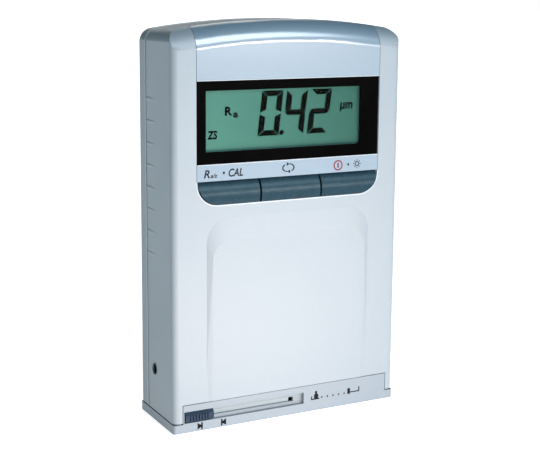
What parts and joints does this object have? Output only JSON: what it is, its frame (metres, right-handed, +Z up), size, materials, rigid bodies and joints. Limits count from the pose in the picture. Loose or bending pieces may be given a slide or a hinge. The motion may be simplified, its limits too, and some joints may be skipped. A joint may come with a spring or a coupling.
{
  "type": "surface roughness tester",
  "caption": "Upright pocket surface roughness tester: silver case with arched top, display, key row, and a sliding shutter in the base that uncovers a traversing stylus pickup.",
  "frame": {"origin": "middle of the footprint on the plane that the base stands on", "axes": "+X to the right seen from the display side, +Y from the display to the back, +Z up"},
  "size_m": [0.07, 0.024, 0.11],
  "materials": {
    "shell_silver": "fine metallic silver paint over moulded plastic, satin",
    "window_black": "clear window with a black printed border",
    "lcd_glass": "grey-green reflective display glass",
    "key_grey": "satin dark grey plastic",
    "white_plastic": "plain white moulding",
    "black_plastic": "plain black moulding",
    "contact_rubber": "layered conductive silicone",
    "board_green": "glass-fibre board with green solder mask",
    "cell_wrap": "shrink-wrapped steel cell",
    "steel": "ground or plated steel",
    "alloy": "pressed aluminium",
    "brass": "turned brass",
    "ruby": "polished synthetic ruby",
    "diamond": "polished diamond point",
    "nut_plastic": "cream bearing plastic"
  },
  "bodies": {
    "case": {"front_shell": "shell_silver", "rear_shell": "shell_silver", "base_frame": "shell_silver", "display_bezel": "shell_silver", "display_window": "window_black", "lcd_panel": "lcd_glass", "lcd_frame": "white_plastic", "backlight": "white_plastic", "contact_strip": "contact_rubber", "key_switches": "alloy", "main_board": "board_green", "controller_chip": "black_plastic", "amplifier_chip": "black_plastic", "capacitors": "alloy", "buzzer": "black_plastic", "board_screws": "steel", "battery_tray": "black_plastic", "battery_cells": "cell_wrap", "battery_contacts": "steel", "charging_socket": "black_plastic", "case_screws": "steel", "base_screws": "steel", "drive_frame": "alloy", "frame_screws": "steel", "guide_rods": "steel", "screw_bush": "brass", "gearbox": "brass", "motor_can": "steel"},
    "key_left": {"key_left": "key_grey", "plunger_left": "black_plastic"},
    "key_middle": {"key_middle": "key_grey", "plunger_middle": "black_plastic"},
    "key_right": {"key_right": "key_grey", "plunger_right": "black_plastic"},
    "shutter": {"slide_knob": "key_grey", "shutter_slide": "nut_plastic"},
    "carriage": {"carriage": "nut_plastic", "drive_nut": "brass", "hinge_pin": "steel"},
    "lead_screw": {"lead_screw": "steel"},
    "pickup": {"pickup_body": "alloy", "lift_pin": "steel", "skid": "ruby"},
    "stylus": {"stylus_arm": "steel", "stylus_tip": "diamond"}
  },
  "joints": [
    {"name": "key_left_press", "type": "slide", "parent": "case", "child": "key_left", "axis": [0, 1, 0], "range_m": [0, 0.0005], "stiffness_N_per_m": 800},
    {"name": "key_middle_press", "type": "slide", "parent": "case", "child": "key_middle", "axis": [0, 1, 0], "range_m": [0, 0.0005], "stiffness_N_per_m": 800},
    {"name": "key_right_press", "type": "slide", "parent": "case", "child": "key_right", "axis": [0, 1, 0], "range_m": [0, 0.0005], "stiffness_N_per_m": 800},
    {"name": "shutter_slide", "type": "slide", "parent": "case", "child": "shutter", "axis": [1, 0, 0], "range_m": [0, 0.027]},
    {"name": "carriage_traverse", "type": "slide", "parent": "case", "child": "carriage", "axis": [1, 0, 0], "range_m": [0, 0.006]},
    {"name": "screw_turn", "type": "hinge", "parent": "case", "child": "lead_screw", "pos_m": [0, 0.0025, 0.013], "axis": [-1, 0, 0], "range_deg": [0, 2160.5]},
    {"name": "pickup_tilt", "type": "hinge", "parent": "carriage", "child": "pickup", "pos_m": [-0.0027, 0, 0.006], "axis": [0, -1, 0], "range_deg": [0, 4.9]},
    {"name": "stylus_swing", "type": "hinge", "parent": "pickup", "child": "stylus", "pos_m": [-0.01874, 0, 0.00386], "axis": [0, 1, 0], "range_deg": [-1, 1], "stiffness_Nm_per_rad": 0.0005}
  ],
  "couplings": [
    {"joint": "screw_turn", "follows": "carriage_traverse", "rad_per_m": 6283.2},
    {"joint": "pickup_tilt", "follows": "shutter_slide", "rad_per_m": 3.164}
  ]
}
